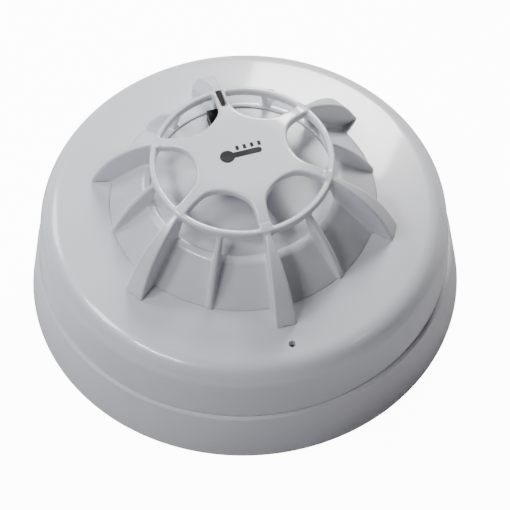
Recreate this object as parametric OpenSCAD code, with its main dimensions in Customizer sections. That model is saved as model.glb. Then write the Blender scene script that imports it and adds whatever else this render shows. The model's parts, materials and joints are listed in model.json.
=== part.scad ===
// Point-type heat detector: a sensor head twisted onto its mounting base.
// Millimetres. The mounting face is at z = 0 and the sensing end points along +Z.
// -Y is the locking-screw side and +Y is the indicator side.

/* [Mounting base] */
// Diameter of the base at the mounting face
base_d = 100; // [99:0.5:101]
// Height of the base
base_h = 13.2; // [13.1:0.1:13.4]
// Wall thickness of the base
base_wall = 2.4; // [2:0.1:2.6]
// Thickness of the base floor
floor_t = 2.4; // [2:0.1:2.6]
// Diameter of the cable hole
cable_hole_d = 22; // [18:1:24]
// Distance between the two fixing slots
fixing_spacing = 60; // [58:1:62]
// Width of a fixing slot
fixing_slot_w = 4.4; // [4:0.1:5]
// End-to-end length of a fixing slot
fixing_slot_len = 11; // [8:1:12]

/* [Head cover] */
// Radius of the cover's side at its shoulder
shoulder_r = 46.9; // [46.7:0.1:47]
// Radius of the shoulder rounding
shoulder_round = 5.8; // [5:0.1:6]
// Height of the shoulder's centre
shoulder_z = 22.6; // [22.4:0.1:22.8]
// Draft of the side wall in degrees
wall_draft = 4; // [3.5:0.5:4.5]
// Rise of the dome in degrees
dome_rise = 10.5; // [10.3:0.1:10.8]
// Thickness of the cover
cover_t = 2; // [1.8:0.1:2.2]

/* [Sensor cage] */
// Number of main fins
fin_count = 6; // [6]
// Height of the flat hub above the mounting face
hub_top = 48.4; // [48:0.1:49]
// Radius where the fins reach the dome
fin_end_r = 35.9; // [35:0.1:35.9]
// Mean radius of the ring
ring_r = 20.2; // [20:0.1:20.5]
// Radial thickness of the ring
ring_t = 1.4; // [1.2:0.1:1.6]
// Radius of each bite between the arms
bite_r = 9.6; // [9.2:0.1:9.8]
// Thickness of an intermediate rib
rib_t = 1.4; // [1.2:0.1:1.8]

/* [Bayonet] */
// Width of each bayonet lug in degrees
lug_angle = 17; // [14:1:17]

/* [Hidden] */
$fn = 96;
small = 32;                      // facets on small round parts
eps = 0.02;
gap = 0.2;                       // clearance between head and base
base_r = base_d / 2;
base_top_r = base_r - 1.7;
head_z = base_h + gap;           // underside of the head
round_c = [shoulder_r - shoulder_round * cos(wall_draft), shoulder_z];

// Bayonet
collar_in = 41;
collar_out = 42.6;
collar_top = 11;
ledge_in = 38.7;
ledge_t = 1.6;
spigot_in = 36.6;
spigot_out = 38.3;
spigot_low = 7.2;
lug_out = 40.6;
lug_t = 2;

// Terminals
terminal_angles = [45, 135, 225, 315];
pad_h = 2.6;
plate_t = 0.8;
plate_top = floor_t + pad_h + plate_t;
contact_r = 25.8;
screw_r = 32.4;

// Head inside
chassis_t = 2;
chassis_top = head_z + chassis_t;
board_z = 20;
board_t = 1.6;
board_top = board_z + board_t;
board_r = 36;
post_r = 41;                     // circle of the cover screws
post_angles = [60, 180, 300];
post_top = 27.5;
board_screw_r = 31;
board_screw_angles = [0, 120, 240];
lock_r = 39.9;                   // locking-screw hole
lock_hole_d = 1.6;
lock_screw_d = 3;

// Cage outline: circles in the r-z plane
hub_t = 2;
hub_flat_r = 12;
crest_r = 29.7;
crest_c = [8.44, hub_top - sqrt(crest_r * crest_r - pow(hub_flat_r - 8.44, 2))];
rib_crest_c = [-0.7, 18];
rib_crest_r = 34.26;
rib_end_r = 32;
ring_in = ring_r - ring_t / 2;
ring_out = ring_r + ring_t / 2;
ring_low = 44.2;
ring_top = 46.2;
bite_centre_r = 20.5;
arm_half = 1.4;                  // half widths of a main fin: at the arm, neck and foot
neck_half = 0.8;
foot_half = 2.6;
skirt_top_r = 22.6;
skirt_top_z = 38.4;
opening_r = 30.6;                // round opening of the cover
skirt_foot_r = opening_r - 0.1;
neck_in = skirt_foot_r - 2.2;
flange_r = opening_r + 2.2;

// Slot in the rear arm, and the light pipe that rises beside the arm and steps over into it
slot_w = 1.4;
slot_r = [14.4, 20.3];
pipe_x = [-3.1, -1.3];
pipe_y = [15.6, 19.2];
pipe_low = board_top + 3;
pipe_step_z = [40, 41.2];
pipe_top = 46.1;
window_w = 1.1;

// Sensor chamber
chamber_rim_r = 21;
chamber_rim_z = 38;
chamber_tube_z = 42.4;
chamber_t = 1.4;
bead_z = chamber_tube_z + 2.1;

// Height of the dome's outer face at radius r
function dome_z(r) = round_c[1] + shoulder_round * cos(dome_rise)
    + (round_c[0] + shoulder_round * sin(dome_rise) - r) * tan(dome_rise);

foot_z = dome_z(skirt_foot_r) + 0.15;
flange_top = dome_z(flange_r) - cover_t / cos(dome_rise) - 0.05;
flange_low = flange_top - 1.6;

// Turns what points along -Y round the axis, anticlockwise seen from the sensing end
module at(angle, r = 0) {
    rotate([0, 0, angle]) translate([0, -r, 0]) children();
}

module ring_of(r_in, r_out, z0, z1) {
    translate([0, 0, z0]) difference() {
        cylinder(r = r_out, h = z1 - z0);
        translate([0, 0, -1]) cylinder(r = r_in, h = z1 - z0 + 2);
    }
}

// Part of a ring, from angle a0 to a1
module arc_block(r_in, r_out, z0, z1, a0, a1) {
    reach = r_out * 1.3;
    intersection() {
        ring_of(r_in, r_out, z0, z1);
        translate([0, 0, z0 - 1]) linear_extrude(z1 - z0 + 2)
            polygon([[0, 0], reach * [sin(a0), -cos(a0)], reach * [sin(a1), -cos(a1)]]);
    }
}

// ---- Mounting base ----
module fixing_slot() {
    travel = (fixing_slot_len - fixing_slot_w) / 2;
    for (s = [-1, 1]) translate([s * travel, 0, -1])
        cylinder(d = fixing_slot_w, h = floor_t + 2, $fn = small);
    translate([-travel, -fixing_slot_w / 2, -1])
        cube([2 * travel, fixing_slot_w, floor_t + 2]);
}

module base_shell() {
    edge = 0.5;
    rotate_extrude() polygon([
        [cable_hole_d / 2, 0], [base_r, 0], [base_top_r, base_h - edge],
        [base_top_r - edge, base_h], [base_top_r - base_wall, base_h],
        [base_r - base_wall - 0.3, floor_t], [cable_hole_d / 2, floor_t]
    ]);
}

module cable_hole_rim() {
    ring_of(cable_hole_d / 2, cable_hole_d / 2 + 1.4, floor_t - eps, floor_t + 1.6);
}

module bayonet_ledges() {
    for (k = [0:2]) {
        arc_block(ledge_in, collar_in + eps, collar_top - ledge_t, collar_top,
            k * 120 - lug_angle / 2 - 1, k * 120 + lug_angle / 2 + 1);
        arc_block(ledge_in + 0.6, collar_in + eps, floor_t - eps, collar_top,
            k * 120 - lug_angle / 2 - 4, k * 120 - lug_angle / 2 - 1);
    }
}

module terminal_pads() {
    for (a = terminal_angles) at(a, screw_r) difference() {
        translate([-6, -4.4, floor_t - eps]) cube([12, 13, pad_h + eps]);
        translate([0, 0, floor_t - 1]) cylinder(d = 3.2, h = pad_h + 2, $fn = small);
    }
}

module mounting_base() {
    color("whitesmoke") difference() {
        union() {
            base_shell();
            cable_hole_rim();
            ring_of(collar_in, collar_out, floor_t - eps, collar_top);
            bayonet_ledges();
            terminal_pads();
        }
        for (s = [-1, 1]) translate([s * fixing_spacing / 2, 0, 0]) fixing_slot();
    }
}

module terminal_plate(k) {
    color("silver") at(terminal_angles[k], screw_r) difference() {
        translate([-5, -3.8, floor_t + pad_h]) cube([10, 12, plate_t]);
        translate([0, 0, floor_t]) cylinder(d = 3.4, h = pad_h + 2, $fn = small);
    }
}

module clamp_washers() {
    color("gainsboro") for (a = terminal_angles) at(a, screw_r) difference() {
        translate([-3.5, -3.5, plate_top]) cube([7, 7, 1]);
        translate([0, 0, plate_top - 1]) cylinder(d = 3.4, h = 3, $fn = small);
    }
}

// Round screw with a cross recess; z = 0 is under its head
module screw(d, length, head_d, head_h) {
    recess = head_d * 0.55;
    difference() {
        union() {
            cylinder(d = head_d, h = head_h, $fn = small);
            translate([0, 0, -length]) cylinder(d = d, h = length + eps, $fn = small);
        }
        for (a = [0, 90]) rotate([0, 0, a])
            translate([-recess / 2, -0.3, head_h * 0.45]) cube([recess, 0.6, head_h]);
    }
}

module terminal_screws() {
    color("silver") for (a = terminal_angles)
        at(a, screw_r) translate([0, 0, plate_top + 1]) screw(3.2, 4.2, 5.8, 1.9);
}

// ---- Head cover ----
function arc_points(c, r, a0, a1, n) =
    [for (i = [0:n]) c + r * [cos(a0 + (a1 - a0) * i / n), sin(a0 + (a1 - a0) * i / n)]];

// Radius of the side wall at the cover's lower rim, for a face moved inwards by inset
function wall_foot(inset) = round_c[0] + (shoulder_round - inset) * cos(wall_draft)
    + (round_c[1] + (shoulder_round - inset) * sin(wall_draft) - head_z) * tan(wall_draft);

module cover_shell() {
    shoulder_steps = 12;
    rotate_extrude() polygon(concat(
        [[opening_r, dome_z(opening_r)]],
        arc_points(round_c, shoulder_round, 90 - dome_rise, wall_draft, shoulder_steps),
        [[wall_foot(0), head_z], [wall_foot(cover_t), head_z]],
        arc_points(round_c, shoulder_round - cover_t, wall_draft, 90 - dome_rise, shoulder_steps),
        [[opening_r, dome_z(opening_r) - cover_t / cos(dome_rise)]]
    ));
}

module cover_posts() {
    for (a = post_angles) at(a, post_r) difference() {
        translate([0, 0, chassis_top + eps]) cylinder(d = 5.6, h = post_top - chassis_top, $fn = small);
        translate([0, 0, chassis_top - 1]) cylinder(d = 2.4, h = 10.5, $fn = small);
    }
}

module outer_cover() {
    color("whitesmoke") difference() {
        union() {
            cover_shell();
            cover_posts();
        }
        at(0, lock_r) translate([0, 0, head_z]) cylinder(d = lock_hole_d, h = 20, $fn = small);
    }
}

// ---- Sensor cage ----
// Lower side of the hub, arms and fins in the r-z plane, then the space above it
module above_floor(r_end) {
    polygon([
        [0, hub_top - hub_t], [hub_flat_r, hub_top - hub_t], [ring_in, ring_low],
        [ring_in + 0.3, ring_low], [skirt_top_r - 1.2, skirt_top_z - 0.2],
        [skirt_top_r - 0.5, skirt_top_z - 1.8], [skirt_foot_r - 1, foot_z - 0.8],
        [skirt_foot_r - 0.2, dome_z(skirt_foot_r - 0.2) + 0.05],
        [r_end, dome_z(r_end) + 0.05], [r_end, hub_top], [0, hub_top]
    ]);
}

// Round body that the fins are cut from; its outer side is the crest arc
module crest_body() {
    rotate_extrude() intersection() {
        union() {
            translate(crest_c) circle(r = crest_r);
            square([hub_flat_r, hub_top]);
        }
        above_floor(fin_end_r);
    }
}

// Plan shape of the hub, its arms and the main fins, which widen outwards
module star_plan() {
    difference() {
        circle(r = ring_r);
        for (k = [0:fin_count - 1]) rotate((k + 0.5) * 360 / fin_count)
            translate([0, -bite_centre_r]) circle(r = bite_r);
    }
    for (k = [0:fin_count - 1]) rotate(k * 360 / fin_count) polygon([
        [-arm_half, -hub_flat_r], [-arm_half, -ring_in], [-neck_half, -ring_out - 0.6],
        [-foot_half, -fin_end_r - 1], [foot_half, -fin_end_r - 1],
        [neck_half, -ring_out - 0.6], [arm_half, -ring_in], [arm_half, -hub_flat_r]
    ]);
}

module hub_and_fins() {
    intersection() {
        crest_body();
        linear_extrude(hub_top + 1) star_plan();
    }
}

module ribs() {
    intersection() {
        rotate_extrude() intersection() {
            translate(rib_crest_c) circle(r = rib_crest_r);
            above_floor(rib_end_r);
            translate([ring_r, 0]) square(60);
        }
        for (k = [0:fin_count - 1]) at((k + 0.5) * 360 / fin_count)
            translate([-rib_t / 2, -40, 0]) cube([rib_t, 30, 60]);
    }
}

module skirt() {
    rotate_extrude() polygon([
        [skirt_top_r, skirt_top_z], [skirt_foot_r, foot_z], [skirt_foot_r, flange_top],
        [flange_r, flange_top], [flange_r, flange_low],
        [neck_in, flange_low], [neck_in, foot_z - 1.5],
        [skirt_top_r - 1.3, skirt_top_z - 1.2], [skirt_top_r - 1, skirt_top_z]
    ]);
}

module sensor_cage() {
    color("whitesmoke") difference() {
        union() {
            hub_and_fins();
            ring_of(ring_in, ring_out, ring_low, ring_top);
            skirt();
            ribs();
        }
        at(180, slot_r[1]) translate([-slot_w / 2, 0, ring_low - 1])
            cube([slot_w, slot_r[1] - slot_r[0], 20]);
    }
}

// ---- Inside the head ----
// Shallow floor inside the cage, with a tube for the sensing bead and a wall down to its flange
module sensor_chamber() {
    tube_r = 4;
    tube_bore = 2.7;
    centre_z = chamber_rim_z + 2.4;
    foot_r = neck_in - 0.5;
    color("whitesmoke") difference() {
        rotate_extrude() polygon([
            [tube_bore, centre_z - 3.5], [tube_bore, chamber_tube_z], [tube_r, chamber_tube_z],
            [tube_r, centre_z], [chamber_rim_r, chamber_rim_z], [chamber_rim_r, chamber_rim_z - 1.4],
            [foot_r, flange_low + 2.2], [foot_r, flange_low], [flange_r, flange_low],
            [flange_r, flange_low - 1.2], [foot_r - chamber_t, flange_low - 1.2],
            [foot_r - chamber_t, flange_low + 1.7], [chamber_rim_r - chamber_t, chamber_rim_z - 1.8],
            [tube_r, centre_z - chamber_t]
        ]);
        translate([pipe_x[0] - 0.1, pipe_y[0] - 0.1, board_top])
            cube([pipe_x[1] - pipe_x[0] + 0.2, pipe_y[1] - pipe_y[0] + 0.2, 20]);
    }
}

module bayonet_lugs() {
    for (k = [0:2])
        arc_block(spigot_out - eps, lug_out, spigot_low, spigot_low + lug_t,
            k * 120 - lug_angle / 2, k * 120 + lug_angle / 2);
}

module board_posts() {
    for (a = board_screw_angles) at(a, board_screw_r)
        translate([0, 0, chassis_top - eps]) cylinder(d = 6, h = board_z - chassis_top + eps, $fn = small);
}

module head_chassis() {
    edge_r = round_c[0] + (shoulder_round - cover_t) + 0.3;
    color("gainsboro") difference() {
        union() {
            ring_of(0, edge_r, head_z, chassis_top);
            ring_of(spigot_in, spigot_out, spigot_low, head_z + eps);
            bayonet_lugs();
            board_posts();
            at(0, lock_r) translate([0, 0, chassis_top - eps]) cylinder(d = 5.4, h = 4, $fn = small);
        }
        for (a = board_screw_angles) at(a, board_screw_r)
            translate([0, 0, chassis_top - 0.6]) cylinder(d = 2.2, h = 20, $fn = small);
        for (a = post_angles) at(a, post_r)
            translate([0, 0, head_z - 1]) cylinder(d = 3, h = 20, $fn = small);
        at(0, lock_r) translate([0, 0, head_z - 1])
            cylinder(d = lock_screw_d + 0.1, h = 20, $fn = small);
        for (a = terminal_angles) at(a, contact_r)
            translate([-2.2, -0.6, head_z - 1]) cube([4.4, 1.2, 4]);
    }
}

module circuit_board() {
    color("seagreen") difference() {
        translate([0, 0, board_z]) cylinder(r = board_r, h = board_t);
        for (a = board_screw_angles) at(a, board_screw_r)
            translate([0, 0, board_z - 1]) cylinder(d = 2.6, h = 4, $fn = small);
    }
}

// Spring contact: a strip from the board down through the chassis, and its foot on the terminal plate
module contact_blade(k) {
    foot_z = plate_top + 0.1;
    strip_t = 0.6;
    color("lightsteelblue") at(terminal_angles[k], contact_r) {
        translate([-2, -strip_t / 2, foot_z]) cube([4, strip_t, board_z - foot_z - 0.05]);
        translate([-2, -strip_t / 2, foot_z]) cube([4, 3, strip_t]);
    }
}

module cover_screws() {
    color("silver") for (a = post_angles) at(a, post_r)
        translate([0, 0, head_z - eps]) mirror([0, 0, 1]) screw(2.4, 11, 4.8, 1.4);
}

module board_screws() {
    color("silver") for (a = board_screw_angles) at(a, board_screw_r)
        translate([0, 0, board_top]) screw(2.2, 4, 4.2, 1.3);
}

module block(x, y, z) {
    translate([x[0], y[0], z[0]]) cube([x[1] - x[0], y[1] - y[0], z[1] - z[0]]);
}

// One clear moulding: stem over the lamp, step under the arm, and window blade in the arm's slot
module light_pipe() {
    half = window_w / 2;
    color("dimgray") {
        block(pipe_x, pipe_y, [pipe_low, pipe_step_z[1]]);
        block([pipe_x[0], half], pipe_y, pipe_step_z);
        block([-half, half], [slot_r[0] + 0.2, pipe_y[1]], [pipe_step_z[0], pipe_top]);
        block([-half, half], [slot_r[0] + 0.2, slot_r[1] - 0.2], [ring_low - 0.8, pipe_top]);
    }
}

module indicator_led() {
    color("mistyrose") translate([(pipe_x[0] + pipe_x[1]) / 2, (pipe_y[0] + pipe_y[1]) / 2, board_top]) {
        cylinder(d = 3.6, h = 0.8, $fn = small);
        cylinder(d = 3, h = 2.8, $fn = small);
    }
}

module thermistor_bead() {
    color("saddlebrown") translate([0, 0, bead_z]) sphere(r = 1.2, $fn = small);
}

module thermistor_leads() {
    color("silver") for (s = [-1, 1]) translate([s * 0.6, 0, board_top])
        cylinder(d = 0.5, h = bead_z - 0.8 - board_top, $fn = small);
}

module thermistor_sleeve() {
    sleeve_len = chamber_tube_z - board_top - 0.4;
    color("ivory") translate([0, 0, board_top + 1]) difference() {
        cylinder(r = 1.7, h = sleeve_len, $fn = small);
        translate([0, 0, -1]) cylinder(r = 1.1, h = sleeve_len + 2, $fn = small);
    }
}

module thermistor_grommet() {
    color("dimgray") translate([0, 0, chamber_tube_z - 3]) difference() {
        cylinder(r = 2.7, h = 2.6, $fn = small);
        translate([0, 0, -1]) cylinder(r = 1.7, h = 5, $fn = small);
    }
}

// Second bead, kept inside the case so that it warms slowly
module reference_thermistor() {
    color("saddlebrown") translate([9, 0, board_top]) {
        for (s = [-1, 1]) translate([s * 0.6, 0, 0]) cylinder(d = 0.5, h = 2.4, $fn = small);
        translate([0, 0, 3.2]) sphere(r = 1.2, $fn = small);
    }
}

module chip(size, pos) {
    translate([pos[0] - size[0] / 2, pos[1] - size[1] / 2, board_top]) cube(size);
}

module integrated_circuits() {
    color("black") {
        chip([5, 8.6, 1.5], [-16, 8]);
        chip([3.9, 4.9, 1.5], [16, 12]);
    }
}

module chip_resistors() {
    color("darkslategray") for (k = [0:9])
        chip([2, 1.2, 0.5], [-10 + (k % 5) * 4, -12 - 3 * floor(k / 5)]);
}

module chip_capacitors() {
    color("tan") for (k = [0:5])
        chip([2, 1.25, 0.9], [-8 + 3.4 * (k % 3), 24 + 3 * floor(k / 3)]);
}

module output_transistors() {
    color("black") for (s = [-1, 1]) chip([6.5, 3.5, 1.7], [s * 18, -8]);
}

module storage_capacitor() {
    color("steelblue") translate([14, -18, board_top]) cylinder(d = 5, h = 3.6, $fn = small);
}

// ---- Locking screw ----
module locking_screw() {
    length = 6;
    color("dimgray") at(0, lock_r) translate([0, 0, 13.2]) difference() {
        cylinder(d = lock_screw_d, h = length, $fn = small);
        translate([0, 0, length - 2]) cylinder(d = 1.7, h = 3, $fn = 6);
    }
}

mounting_base();
terminal_plate(0);  // terminal_plate_1
terminal_plate(1);  // terminal_plate_2
terminal_plate(2);  // terminal_plate_3
terminal_plate(3);  // terminal_plate_4
clamp_washers();
terminal_screws();
outer_cover();
sensor_cage();
sensor_chamber();
head_chassis();
circuit_board();
contact_blade(0);  // contact_blade_1
contact_blade(1);  // contact_blade_2
contact_blade(2);  // contact_blade_3
contact_blade(3);  // contact_blade_4
cover_screws();
board_screws();
light_pipe();
indicator_led();
thermistor_bead();
thermistor_leads();
thermistor_sleeve();
thermistor_grommet();
reference_thermistor();
integrated_circuits();
chip_resistors();
chip_capacitors();
output_transistors();
storage_capacitor();
locking_screw();
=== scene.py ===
"""Looks for the heat detector: moulded shells with rounded edges, materials, studio light and camera.

Shapes are worked out in millimetres and scaled to metres as meshes are made. The mounting face
is at z = 0, +Z points to the sensing end, and azimuth 0 is -Y, where the locking screw sits.
"""
import json
import math
import bmesh
import bpy
import numpy as np
from mathutils import Matrix, Vector


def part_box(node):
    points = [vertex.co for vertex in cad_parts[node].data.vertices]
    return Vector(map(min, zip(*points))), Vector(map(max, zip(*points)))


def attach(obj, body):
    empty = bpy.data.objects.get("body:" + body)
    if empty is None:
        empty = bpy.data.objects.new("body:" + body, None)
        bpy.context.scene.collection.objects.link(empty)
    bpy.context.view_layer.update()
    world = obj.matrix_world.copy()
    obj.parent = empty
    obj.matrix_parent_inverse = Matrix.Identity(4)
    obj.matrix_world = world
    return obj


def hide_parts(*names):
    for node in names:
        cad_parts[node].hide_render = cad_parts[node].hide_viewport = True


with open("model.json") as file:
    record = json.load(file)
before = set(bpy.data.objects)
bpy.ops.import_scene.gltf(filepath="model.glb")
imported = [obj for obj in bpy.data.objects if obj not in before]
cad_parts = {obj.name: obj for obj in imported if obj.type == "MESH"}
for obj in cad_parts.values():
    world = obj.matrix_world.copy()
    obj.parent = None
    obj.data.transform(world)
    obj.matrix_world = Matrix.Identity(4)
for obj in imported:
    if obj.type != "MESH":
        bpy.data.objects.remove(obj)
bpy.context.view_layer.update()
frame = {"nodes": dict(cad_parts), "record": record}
MM = 0.001


def box_mm(node):
    """Lowest and highest corners of a CAD node, in millimetres."""
    low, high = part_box(node)
    return low / MM, high / MM


# ---- Sizes, in millimetres, from the frame and the design ----
base_low, base_high = box_mm("mounting_base")
cover_low, cover_high = box_mm("outer_cover")
cage_low, cage_high = box_mm("sensor_cage")
chamber_low, chamber_high = box_mm("sensor_chamber")

BASE_R = base_high.x
BASE_H = base_high.z
BASE_TOP_R = BASE_R - 1.7
BASE_WALL = 2.4
FLOOR_T = 2.4
CABLE_R = 11.0
HEAD_Z = cover_low.z

SHOULDER_ROUND = 5.8
WALL_DRAFT = math.radians(4)
DOME_RISE = math.radians(10.5)
COVER_T = 2.0
SHOULDER_C = np.array([46.9 - SHOULDER_ROUND * math.cos(WALL_DRAFT), 22.6])
OPENING_R = 30.6
LOCK_R = 39.9
LOCK_HOLE_R = 0.8

HUB_TOP = cage_high.z - 0.02            # the printed mark stands on it, up to the box
HUB_T = 2.0
HUB_FLAT_R = 12.0
CREST_R = 29.7
CREST_CENTRE_R = 8.44
CREST_C = (CREST_CENTRE_R, HUB_TOP - math.sqrt(CREST_R ** 2 - (HUB_FLAT_R - CREST_CENTRE_R) ** 2))
RIB_CREST_R = 34.26
RIB_CREST_C = (-0.7, 18.0)
RIB_END_R = 31.6
RIB_HALF = 0.7
FIN_END_R = cage_high.y
RING_R = 20.2
RING_HALF = 0.7
RING_Z = (44.2, 46.2)
BITE_R = 9.6
BITE_CENTRE_R = 20.5
ARM_HALF = 1.4
NECK_HALF = 0.8
FOOT_HALF = 2.6
SKIRT_TOP = (22.6, 38.4)
SKIRT_T = 1.5
NECK_R = OPENING_R - 0.03
NECK_IN = NECK_R - 2.2
CAGE_FLANGE_R = 32.8
CAGE_FLANGE_T = 1.6
CHAMBER_RIM = (21.0, 38.0)
CHAMBER_T = 1.4
SLOT_HALF = 0.7
SLOT_R = (14.4, 20.3)


def dome_z(r):
    """Height of the cover's dome at radius r."""
    top = SHOULDER_C + SHOULDER_ROUND * np.array([math.sin(DOME_RISE), math.cos(DOME_RISE)])
    return top[1] + (top[0] - r) * math.tan(DOME_RISE)


SKIRT_FOOT = (NECK_R, dome_z(NECK_R) + 0.05)


# ---- Mesh helpers ----
def make_object(name, verts, faces, sharp=35):
    """An object in metres from millimetre points; edges above sharp degrees stay crisp."""
    mesh = bpy.data.meshes.new(name)
    mesh.from_pydata((np.asarray(verts) * MM).tolist(), [], faces)
    mesh.validate()
    mesh.shade_smooth()
    if sharp:
        mesh.set_sharp_from_angle(angle=math.radians(sharp))
    obj = bpy.data.objects.new(name, mesh)
    bpy.context.scene.collection.objects.link(obj)
    return obj


def rounded(corners, steps=6):
    """Closed outline with each corner (x, y, radius) rounded by an arc."""
    outline = []
    count = len(corners)
    for i, (x, y, radius) in enumerate(corners):
        here = np.array([x, y])
        back = np.array(corners[i - 1][:2]) - here
        ahead = np.array(corners[(i + 1) % count][:2]) - here
        if radius <= 0:
            outline.append(here)
            continue
        back, ahead = back / np.linalg.norm(back), ahead / np.linalg.norm(ahead)
        half = math.acos(np.clip(back @ ahead, -1, 1)) / 2
        middle = (back + ahead) / np.linalg.norm(back + ahead)
        centre = here + middle * radius / math.sin(half)
        start = here + back * radius / math.tan(half) - centre
        end = here + ahead * radius / math.tan(half) - centre
        sweep = math.atan2(start[0] * end[1] - start[1] * end[0], start @ end)
        for k in range(steps + 1):
            c, s = math.cos(sweep * k / steps), math.sin(sweep * k / steps)
            outline.append(centre + [c * start[0] - s * start[1], s * start[0] + c * start[1]])
    return np.array(outline)


def lathe(name, outline, segments=360):
    """Body of revolution from a closed outline of (radius, height)."""
    turn = np.arange(segments) * 2 * math.pi / segments
    ring = np.stack([np.sin(turn), -np.cos(turn)], axis=1)
    verts = np.concatenate([
        np.column_stack([ring * r, np.full(segments, z)]) for r, z in outline])
    faces = []
    for i in range(len(outline)):
        j = (i + 1) % len(outline)
        for k in range(segments):
            n = (k + 1) % segments
            faces.append((i * segments + k, i * segments + n, j * segments + n, j * segments + k))
    obj = make_object(name, verts, faces)
    outward(obj)
    return obj


def prism(name, outline, low, high):
    """Upright solid over a closed plan outline of (x, y)."""
    n = len(outline)
    verts = [(x, y, z) for z in (low, high) for x, y in outline]
    faces = [tuple(range(n - 1, -1, -1)), tuple(range(n, 2 * n))]
    faces += [(k, (k + 1) % n, n + (k + 1) % n, n + k) for k in range(n)]
    obj = make_object(name, verts, faces)
    outward(obj)
    return obj


def outward(obj):
    """Turns every face's normal outwards."""
    bm = bmesh.new()
    bm.from_mesh(obj.data)
    bmesh.ops.recalc_face_normals(bm, faces=bm.faces)
    bm.to_mesh(obj.data)
    bm.free()


def combine(obj, tools, operation):
    """Applies one exact boolean with all the tools, which are then removed."""
    group = bpy.data.collections.new("tools")
    for tool in tools:
        group.objects.link(tool)
    step = obj.modifiers.new("combine", "BOOLEAN")
    step.operation = operation
    step.operand_type = "COLLECTION"
    step.collection = group
    step.solver = "EXACT"
    bpy.context.view_layer.update()
    done = bpy.data.meshes.new_from_object(obj.evaluated_get(bpy.context.evaluated_depsgraph_get()))
    obj.modifiers.clear()
    obj.data = done
    obj.data.set_sharp_from_angle(angle=math.radians(35))
    for tool in tools:
        bpy.data.objects.remove(tool)
    bpy.data.collections.remove(group)


def circle(radius, centre_x=0.0):
    """Plan outline of a circle centred on the x axis."""
    return [(centre_x + radius * math.cos(t), radius * math.sin(t)) for t in np.arange(32) * math.pi / 16]


def on_azimuth(points, degrees, radius):
    """Plan points drawn about the origin, moved out along an azimuth."""
    a = math.radians(degrees)
    c, s = math.cos(a), math.sin(a)
    return [(c * x - s * (y - radius), s * x + c * (y - radius)) for x, y in points]


# ---- Distance fields: negative inside, in millimetres ----
def smooth_max(a, b, k):
    """Larger of two distances, with the edge between them rounded over k."""
    h = np.maximum(k - np.abs(a - b), 0) / k
    return np.maximum(a, b) + h * h * k / 4


def smooth_min(a, b, k):
    """Smaller of two distances, with a fillet of about k between them."""
    return -smooth_max(-a, -b, k)


def right_of(r, z, p, q):
    """Distance to the right of the line from p to q."""
    dr, dz = q[0] - p[0], q[1] - p[1]
    return ((r - p[0]) * dz - (z - p[1]) * dr) / math.hypot(dr, dz)


def round_box(a, b, half_a, half_b, radius):
    """Distance to a box of half sizes half_a and half_b with rounded corners."""
    qa, qb = np.abs(a) - half_a + radius, np.abs(b) - half_b + radius
    return np.hypot(np.maximum(qa, 0), np.maximum(qb, 0)) + np.minimum(np.maximum(qa, qb), 0) - radius


def surface_of(name, field, low, high, step):
    """Quad mesh of a distance field's surface, with its points moved onto the surface."""
    axes = [np.arange(a - 2 * step, b + 2.5 * step, step) for a, b in zip(low, high)]
    values = field(*np.meshgrid(*axes, indexing="ij"))
    inside = values < 0
    offsets = [(i, j, k) for i in (0, 1) for j in (0, 1) for k in (0, 1)]
    size = np.array(inside.shape) - 1
    count = sum(inside[i:i + size[0], j:j + size[1], k:k + size[2]].astype(np.int8) for i, j, k in offsets)
    cells = np.argwhere((count > 0) & (count < 8))
    corner = {o: values[tuple((cells + o).T)] for o in offsets}
    total, hits = np.zeros((len(cells), 3)), np.zeros(len(cells))
    for a in offsets:
        for axis in range(3):
            if a[axis]:
                continue
            b = tuple(1 if n == axis else a[n] for n in range(3))
            va, vb = corner[a], corner[b]
            cross = (va < 0) != (vb < 0)
            share = np.where(cross, va / np.where(cross, va - vb, 1), 0)
            point = np.tile(np.array(a, float), (len(cells), 1))
            point[:, axis] = share
            total += point * cross[:, None]
            hits += cross
    origin = np.array([a[0] for a in axes])
    points = origin + (cells + total / hits[:, None]) * step

    def slope(p):
        e = 0.02
        return np.stack([(field(*(p + d).T) - field(*(p - d).T)) / (2 * e) for d in np.eye(3) * e], axis=1)

    for _ in range(3):
        g = slope(points)
        move = g * (field(*points.T) / np.maximum((g * g).sum(1), 0.05))[:, None]
        points -= np.clip(move, -step / 2, step / 2)
    number = np.full(tuple(size), -1)
    number[tuple(cells.T)] = np.arange(len(cells))
    faces = []
    for axis in range(3):
        u, v = np.eye(3, dtype=int)[(axis + 1) % 3], np.eye(3, dtype=int)[(axis + 2) % 3]
        edges = np.argwhere(np.diff(inside.astype(np.int8), axis=axis) != 0)
        loop = np.stack([number[tuple((edges - o).T)] for o in (u + v, v, 0 * u, u)], axis=1)
        solid_below = inside[tuple(edges.T)]
        faces.append(np.where(solid_below[:, None], loop, loop[:, ::-1]))
    obj = make_object(name, points, np.concatenate(faces).tolist(), sharp=0)
    normals = slope(points)
    normals /= np.linalg.norm(normals, axis=1)[:, None]
    obj.data.normals_split_custom_set_from_vertices(normals.tolist())
    return obj


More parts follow.
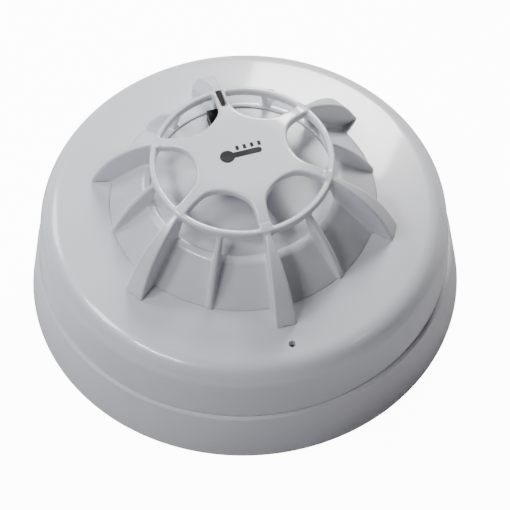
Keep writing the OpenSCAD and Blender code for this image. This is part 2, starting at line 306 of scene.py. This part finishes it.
# ---- Shells ----
def make_cover():
    """The head's shell: drafted wall, rounded shoulder and shallow dome with a round opening."""
    wall_n = np.array([math.cos(WALL_DRAFT), math.sin(WALL_DRAFT)])
    dome_n = np.array([math.sin(DOME_RISE), math.cos(DOME_RISE)])

    def face(inset):
        """Shoulder corner and wall foot of the outline moved inwards."""
        radius = SHOULDER_ROUND - inset
        corner = SHOULDER_C + radius * (wall_n + dome_n) / (1 + wall_n @ dome_n)
        foot = corner[0] + (corner[1] - HEAD_Z) * math.tan(WALL_DRAFT)
        return corner, foot, radius

    outer, outer_foot, outer_round = face(0)
    inner, inner_foot, inner_round = face(COVER_T)
    thick = COVER_T / math.cos(DOME_RISE)
    outline = rounded([
        (OPENING_R, dome_z(OPENING_R), 0.06), (*outer, outer_round),
        (outer_foot, HEAD_Z, 0.15), (inner_foot, HEAD_Z, 0.2),
        (*inner, inner_round), (OPENING_R, dome_z(OPENING_R) - thick, 0.2)], steps=14)
    cover = lathe("cover_shell", outline)
    hole = on_azimuth(circle(LOCK_HOLE_R), 0, LOCK_R)
    combine(cover, [prism("hole", hole, HEAD_Z, dome_z(LOCK_R) + 5)], "DIFFERENCE")
    return cover


def make_base():
    """The mounting base: tapered wall with a chamfered rim, floor, bayonet collar and pads."""
    floor = FLOOR_T
    collar_in, collar_out, collar_top = 41.0, 42.6, 11.0
    ledge_in, ledge_low, ledge_half_angle = 38.7, 9.4, 9.5
    pad_r, pad_h = 32.4, 2.6
    slot_x, half_w, travel = 30, 2.2, 3.3
    rim = CABLE_R + 1.4
    outline = rounded([
        (CABLE_R, 0, 0.3), (BASE_R, 0, 0.4), (BASE_TOP_R, BASE_H - 0.5, 0.2),
        (BASE_TOP_R - 0.5, BASE_H, 0.12), (BASE_TOP_R - BASE_WALL, BASE_H, 0.25),
        (BASE_R - BASE_WALL - 0.3, floor, 0.3), (collar_out, floor, 0.3), (collar_out, collar_top, 0.2),
        (collar_in, collar_top, 0.2), (collar_in, floor, 0.3), (rim, floor, 0.3), (rim, floor + 1.6, 0.3),
        (CABLE_R, floor + 1.6, 0.3)], steps=5)
    base = lathe("base_shell", outline)
    added = []
    for k in range(3):
        arc = np.radians(np.linspace(-ledge_half_angle, ledge_half_angle, 13) + 120 * k)
        ledge = [(r * math.sin(t), -r * math.cos(t))
                 for r, way in ((ledge_in, 1), (collar_in + 0.4, -1)) for t in arc[::way]]
        added.append(prism("ledge_%d" % k, ledge, ledge_low, collar_top - 0.02))
        stop = on_azimuth([(-9.1, 0), (-6.5, 0), (-6.5, 1.7), (-9.1, 1.7)], 120 * k, collar_in + 0.2)
        added.append(prism("stop_%d" % k, stop, floor - 0.3, collar_top - 0.04))
    for k in range(4):
        pad = rounded([(-6, -4.4, 0.5), (6, -4.4, 0.5), (6, 8.6, 0.5), (-6, 8.6, 0.5)], steps=3)
        added.append(prism("pad_%d" % k, on_azimuth(pad, 45 + 90 * k, pad_r), floor - 0.3, floor + pad_h))
    combine(base, added, "UNION")
    slots = []
    for side in (-1, 1):
        slot = rounded([(-travel - half_w, -half_w, half_w), (travel + half_w, -half_w, half_w),
                        (travel + half_w, half_w, half_w), (-travel - half_w, half_w, half_w)], steps=8)
        slots.append(prism("slot_%d" % side, [(x + slot_x * side, y) for x, y in slot], -1, floor + 1))
    combine(base, slots, "DIFFERENCE")
    return base


def make_chamber():
    """Shallow floor inside the cage with the bead's tube, and a wall down to its flange."""
    tube_r, bore_r, flange_r = 4.0, 2.7, 32.7
    low, high = chamber_low.z, chamber_low.z + 1.2
    (rim_r, rim_z), foot_r = CHAMBER_RIM, NECK_IN - 0.5
    centre_z = rim_z + 2.4
    outline = rounded([
        (bore_r, centre_z - 3.5, 0.2), (tube_r, centre_z - CHAMBER_T, 0),
        (rim_r - CHAMBER_T, rim_z - 1.8, 0.6),
        (foot_r - CHAMBER_T, low + 2.9, 0.4), (foot_r - CHAMBER_T, low, 0.2), (flange_r, low, 0.2),
        (flange_r, high, 0.2), (foot_r, high, 0.2), (foot_r, high + 2.2, 0.4), (rim_r, rim_z - 1.4, 0.3),
        (rim_r, rim_z, 0.3), (tube_r, centre_z, 0.8), (tube_r, chamber_high.z, 0.3),
        (bore_r, chamber_high.z, 0.3)], steps=5)
    chamber = lathe("chamber_floor", outline, segments=180)
    pipe_low, pipe_high = box_mm("light_pipe")
    left, right = pipe_low.x - 0.1, pipe_low.x + 1.9
    front, rear = 15.5, 19.3
    hole = [(left, front), (right, front), (right, rear), (left, rear)]
    combine(chamber, [prism("hole", hole, low, pipe_high.z)], "DIFFERENCE")
    return chamber


def cage_field(x, y, z):
    """Distance to the sensor cage: hub with bites, ring, fins, ribs, skirt, neck and flange."""
    r = np.hypot(x, y)
    sector = math.radians(60)
    turn = np.arctan2(x, -y)
    turn = np.abs(turn - sector * np.round(turn / sector))
    along, across = r * np.cos(turn), r * np.sin(turn)
    rib_turn = sector / 2 - turn
    rib_along, rib_across = r * np.cos(rib_turn), r * np.sin(rib_turn)

    crest = np.hypot(np.maximum(r, CREST_C[0]) - CREST_C[0], z - CREST_C[1]) - CREST_R
    rib_crest = np.hypot(r - RIB_CREST_C[0], z - RIB_CREST_C[1]) - RIB_CREST_R
    top = smooth_max(crest, z - HUB_TOP, 0.4)
    bite = BITE_R - np.hypot(rib_along - BITE_CENTRE_R, rib_across)
    plan = smooth_min(bite, across - ARM_HALF, 1.0)
    hub = smooth_max(smooth_max(top, -HUB_T - top, 0.4), smooth_max(plan, r - RING_R, 0.2), 0.7)

    low, high = RING_Z
    ring = round_box(r - RING_R, z - (low + high) / 2, RING_HALF, (high - low) / 2, 0.5)

    fin_root = (21.5, SKIRT_TOP[1] - 0.2)
    under = smooth_max(right_of(r, z, (19.8, low), fin_root),
                       right_of(r, z, fin_root, (29.6, SKIRT_FOOT[1] - 0.3)), 0.5)
    dome = (dome_z(r) - z) * math.cos(DOME_RISE)
    half = np.interp(along, (19.0, 21.6, FIN_END_R), (ARM_HALF, NECK_HALF, FOOT_HALF))
    tail = right_of(r, z, (FIN_END_R, dome_z(FIN_END_R)), (33.4, 35.2))
    fin = smooth_max(across - half, smooth_max(smooth_max(crest, tail, 1.0), r - FIN_END_R, 0.2), 0.6)
    fin = np.maximum(smooth_max(fin, under, 0.4), np.maximum(dome, 17 - r))

    rib = smooth_max(rib_across - RIB_HALF, smooth_max(rib_crest, r - RIB_END_R, 0.8), 0.6)
    rib = np.maximum(smooth_max(rib, under, 0.4), np.maximum(dome, RING_R - r))

    outer = -right_of(r, z, SKIRT_TOP, SKIRT_FOOT)
    skirt = smooth_max(smooth_max(outer, -outer - SKIRT_T, 0.4), z - SKIRT_TOP[1], 0.7)
    skirt = np.maximum(skirt, np.maximum(r - NECK_R, 27 - z))
    neck = round_box(r - (NECK_IN + NECK_R) / 2, z - (cage_low.z + SKIRT_FOOT[1] - 0.3) / 2,
                     (NECK_R - NECK_IN) / 2, (SKIRT_FOOT[1] - 0.3 - cage_low.z) / 2, 0.1)
    flange_high = cage_low.z + CAGE_FLANGE_T
    flange = round_box(r - (NECK_IN + CAGE_FLANGE_R) / 2, z - (cage_low.z + flange_high) / 2,
                       (CAGE_FLANGE_R - NECK_IN) / 2, CAGE_FLANGE_T / 2, 0.2)

    body = smooth_min(smooth_min(hub, ring, 0.5), fin, 0.5)
    body = smooth_min(body, rib, 0.5)
    body = smooth_min(body, np.minimum(skirt, np.minimum(neck, flange)), 0.8)
    slot = np.maximum(np.maximum(np.abs(x) - SLOT_HALF, RING_Z[0] - 1 - z),
                      np.maximum(SLOT_R[0] - y, y - SLOT_R[1]))
    return smooth_max(body, -slot, 0.15)


def make_mark():
    """Generic printed mark on the hub: a lying thermometer."""
    start, end, half_w = -3.4, 4.6, 0.75
    bar = rounded([(start, -half_w, 0.7), (end, -half_w, 0.7), (end, half_w, 0.7), (start, half_w, 0.7)])
    bulb = circle(1.7, start)
    low, high = HUB_TOP - 0.1, cage_high.z
    mark = prism("hub_mark", bar, low, high)
    ticks = [prism("tick_%d" % k, [(x, 1.2), (x + 0.7, 1.2), (x + 0.7, 2.4), (x, 2.4)], low, high)
             for k, x in enumerate((-1.0, 0.7, 2.4, 4.1))]
    combine(mark, [prism("bulb", bulb, low, high)] + ticks, "UNION")
    return mark


# ---- Materials ----
def node_material(name):
    """A new material with its node tree, its Principled shader and a texture-coordinate node."""
    material = bpy.data.materials.new(name)
    material.use_nodes = True
    tree = material.node_tree
    shader = tree.nodes["Principled BSDF"]
    place = tree.nodes.new("ShaderNodeTexCoord")
    return material, tree, shader, place


def noise(tree, place, scale, detail, stretch=None):
    """Noise texture in object space; scale is in lumps per metre."""
    texture = tree.nodes.new("ShaderNodeTexNoise")
    texture.inputs["Scale"].default_value = scale
    texture.inputs["Detail"].default_value = detail
    source = place.outputs["Object"]
    if stretch:
        mapping = tree.nodes.new("ShaderNodeMapping")
        mapping.inputs["Scale"].default_value = stretch
        tree.links.new(source, mapping.inputs["Vector"])
        source = mapping.outputs["Vector"]
    tree.links.new(source, texture.inputs["Vector"])
    return texture


def ramp(tree, source, low, high):
    """Colour ramp from low to high; both are RGB triples or single values."""
    node = tree.nodes.new("ShaderNodeValToRGB")
    for element, value, spot in zip(node.color_ramp.elements, (low, high), (0.35, 0.65)):
        element.position = spot
        element.color = (*value, 1) if hasattr(value, "__len__") else (value, value, value, 1)
    tree.links.new(source, node.inputs["Fac"])
    return node


def bump(tree, shader, source, height):
    """Bump of the given height in metres."""
    node = tree.nodes.new("ShaderNodeBump")
    node.inputs["Distance"].default_value = height
    node.inputs["Strength"].default_value = 1.0
    tree.links.new(source, node.inputs["Height"])
    tree.links.new(node.outputs["Normal"], shader.inputs["Normal"])


def surface(name, colour, roughness, grain_height=0.000006, mottle=0.03, metallic=0.0, coat=0.0,
            stretch=None, specular=0.5, worn=0.18):
    """Material with mottled colour, roughness uneven by worn either way, and a fine grain."""
    material, tree, shader, place = node_material(name)
    cloud = noise(tree, place, 60, 4)
    dark = [c * (1 - mottle) for c in colour]
    light = [min(1, c * (1 + mottle)) for c in colour]
    tint = ramp(tree, cloud.outputs["Fac"], dark, light)
    tree.links.new(tint.outputs["Color"], shader.inputs["Base Color"])
    smudge = noise(tree, place, 140, 5, stretch)
    rough = ramp(tree, smudge.outputs["Fac"], roughness * (1 - worn), min(1, roughness * (1 + worn)))
    tree.links.new(rough.outputs["Color"], shader.inputs["Roughness"])
    bump(tree, shader, noise(tree, place, 900, 2, stretch).outputs["Fac"], grain_height)
    shader.inputs["Metallic"].default_value = metallic
    shader.inputs["Coat Weight"].default_value = coat
    shader.inputs["Coat Roughness"].default_value = 0.07
    shader.inputs["Specular IOR Level"].default_value = specular
    return material


MATERIALS = {
    "base_plastic": surface("base_plastic", (0.64, 0.64, 0.69), 0.34, mottle=0.012, coat=0.3, worn=0.05),
    "head_plastic": surface("head_plastic", (0.62, 0.635, 0.68), 0.3, mottle=0.012, coat=0.6, worn=0.05),
    "inner_plastic": surface("inner_plastic", (0.55, 0.565, 0.60), 0.42),
    "plated_steel": surface("plated_steel", (0.62, 0.61, 0.57), 0.32, metallic=1.0, stretch=(1, 1, 12)),
    "spring_contact": surface("spring_contact", (0.72, 0.55, 0.30), 0.28, metallic=1.0, stretch=(1, 1, 0.1)),
    "board_laminate": surface("board_laminate", (0.03, 0.16, 0.07), 0.35, mottle=0.12, coat=0.3),
    "dark_lens": surface("dark_lens", (0.008, 0.007, 0.007), 0.3, mottle=0.1, specular=0.15),
    "led_epoxy": surface("led_epoxy", (0.42, 0.05, 0.04), 0.12, mottle=0.05),
    "bead_coating": surface("bead_coating", (0.14, 0.05, 0.025), 0.25, mottle=0.15),
    "tinned_wire": surface("tinned_wire", (0.68, 0.67, 0.65), 0.30, metallic=1.0),
    "insulating_sleeve": surface("insulating_sleeve", (0.72, 0.69, 0.58), 0.5, mottle=0.06),
    "black_rubber": surface("black_rubber", (0.03, 0.03, 0.03), 0.7, mottle=0.15),
    "chip_body": surface("chip_body", (0.025, 0.025, 0.028), 0.5, grain_height=0.00001, mottle=0.15),
    "ceramic": surface("ceramic", (0.42, 0.28, 0.16), 0.4, mottle=0.1),
    "capacitor_can": surface("capacitor_can", (0.65, 0.66, 0.68), 0.25, metallic=1.0),
    "dark_steel": surface("dark_steel", (0.08, 0.08, 0.085), 0.35, metallic=1.0),
    "printed_ink": surface("printed_ink", (0.012, 0.012, 0.016), 0.6, mottle=0.12, specular=0.2),
}


def dress(obj, slot):
    """Gives a piece the one material of the given slot."""
    obj.data.materials.clear()
    obj.data.materials.append(MATERIALS[slot])


for part in frame["record"]["subparts"]:
    node = frame["nodes"][part["node"]]
    node.data.materials.clear()
    node.data.materials.append(MATERIALS[part["material_slot"]])

cover = make_cover()
dress(cover, "head_plastic")
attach(cover, "head")
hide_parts("outer_cover")

base = make_base()
dress(base, "base_plastic")
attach(base, "base")
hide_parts("mounting_base")

chamber = make_chamber()
dress(chamber, "inner_plastic")
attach(chamber, "head")
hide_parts("sensor_chamber")

cage = surface_of("cage_moulding", cage_field, cage_low, cage_high, 0.42)
dress(cage, "head_plastic")
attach(cage, "head")
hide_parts("sensor_cage")

mark = make_mark()
dress(mark, "printed_ink")
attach(mark, "head")


# ---- Floor, light and camera ----
def make_floor():
    """Pale studio floor; a glow that only camera rays see makes it white without lighting the object."""
    mesh = bpy.data.meshes.new("floor")
    reach = 4.0
    mesh.from_pydata([(-reach, -reach, 0), (reach, -reach, 0), (reach, reach, 0), (-reach, reach, 0)],
                     [], [(0, 1, 2, 3)])
    floor = bpy.data.objects.new("floor", mesh)
    bpy.context.scene.collection.objects.link(floor)
    paper = surface("floor_paper", (0.5, 0.5, 0.52), 0.9, mottle=0.005, specular=0.1)
    tree = paper.node_tree
    seen, glow, mix = (tree.nodes.new("ShaderNode" + kind)
                       for kind in ("LightPath", "Emission", "AddShader"))
    tree.links.new(seen.outputs["Is Camera Ray"], glow.inputs["Strength"])
    glow.inputs["Color"].default_value = (12, 12, 12, 1)
    output = tree.nodes["Material Output"]
    tree.links.new(output.inputs["Surface"].links[0].from_socket, mix.inputs[0])
    tree.links.new(glow.outputs["Emission"], mix.inputs[1])
    tree.links.new(mix.outputs["Shader"], output.inputs["Surface"])
    floor.data.materials.append(paper)
    floor.location.z = -0.00005      # just clear of the mounting face


VIEW_TURN = -15.0                # camera azimuth from -Y, degrees
VIEW_UP = 54.81                  # camera elevation, degrees
VIEW_ROLL = -1.16                # camera roll, degrees
VIEW_FAR = 804.8                 # distance along the view axis, mm
VIEW_SHIFT = (-2.64, 9.35)       # sideways and upward offset of the aim, mm
AIM = Vector((0, 0, 25))
SENSOR_W = 36                    # camera sensor width, mm
LENS = SENSOR_W * 3500 / 510     # focal length, mm


def make_camera():
    """Camera at the fitted viewpoint with a long lens."""
    up_angle, roll = math.radians(VIEW_UP), math.radians(VIEW_ROLL)
    forward = Vector((0, math.cos(up_angle), -math.sin(up_angle)))
    right, up = Vector((1, 0, 0)), Vector((0, math.sin(up_angle), math.cos(up_angle)))
    side = right * math.cos(roll) + up * math.sin(roll)
    top = up * math.cos(roll) - right * math.sin(roll)
    place = AIM - side * VIEW_SHIFT[0] - top * VIEW_SHIFT[1] - forward * VIEW_FAR
    turn = Matrix.Rotation(math.radians(VIEW_TURN), 4, "Z")
    pose = Matrix((side, top, -forward)).transposed().to_4x4()
    pose.translation = place * MM
    camera = bpy.data.objects.new("camera", bpy.data.cameras.new("camera"))
    camera.data.sensor_width = SENSOR_W
    camera.data.lens = LENS
    camera.data.clip_start = 0.05
    camera.matrix_world = turn @ pose
    bpy.context.scene.collection.objects.link(camera)
    bpy.context.scene.camera = camera


def make_light(name, azimuth, elevation, distance, size, power, colour):
    """Square area light aimed at the object; azimuth counts from the camera, anticlockwise from above."""
    a, e = math.radians(azimuth + VIEW_TURN), math.radians(elevation)
    way = Vector((math.sin(a) * math.cos(e), -math.cos(a) * math.cos(e), math.sin(e)))
    data = bpy.data.lights.new(name, "AREA")
    data.size = size
    data.energy = power
    data.color = colour
    light = bpy.data.objects.new(name, data)
    light.location = AIM * MM + way * distance
    light.rotation_euler = way.to_track_quat("Z", "Y").to_euler()
    bpy.context.scene.collection.objects.link(light)


def make_world():
    """Even pale surroundings."""
    world = bpy.data.worlds.new("studio")
    bpy.context.scene.world = world
    world.use_nodes = True
    back = world.node_tree.nodes["Background"]
    back.inputs["Color"].default_value = (1.0, 0.98, 0.98, 1)
    back.inputs["Strength"].default_value = 0.05


make_floor()
make_world()
make_camera()
COOL = (0.97, 0.98, 1.0)
make_light("key", -92, 52, 1.3, 0.3, 7.5, COOL)
for step in range(6):            # small lights side by side draw one streak along the shoulder
    make_light("streak_left_%d" % (step + 1), -65 + 5 * step, 52, 1.3, 0.05, 1.1, COOL)
make_light("left", -128, 34, 1.2, 0.35, 6, COOL)
make_light("back", 168, 37, 1.2, 0.4, 20, (1.0, 0.98, 0.95))
make_light("streak_right", 62, 42, 1.2, 0.1, 0.3, (1.0, 0.88, 0.84))
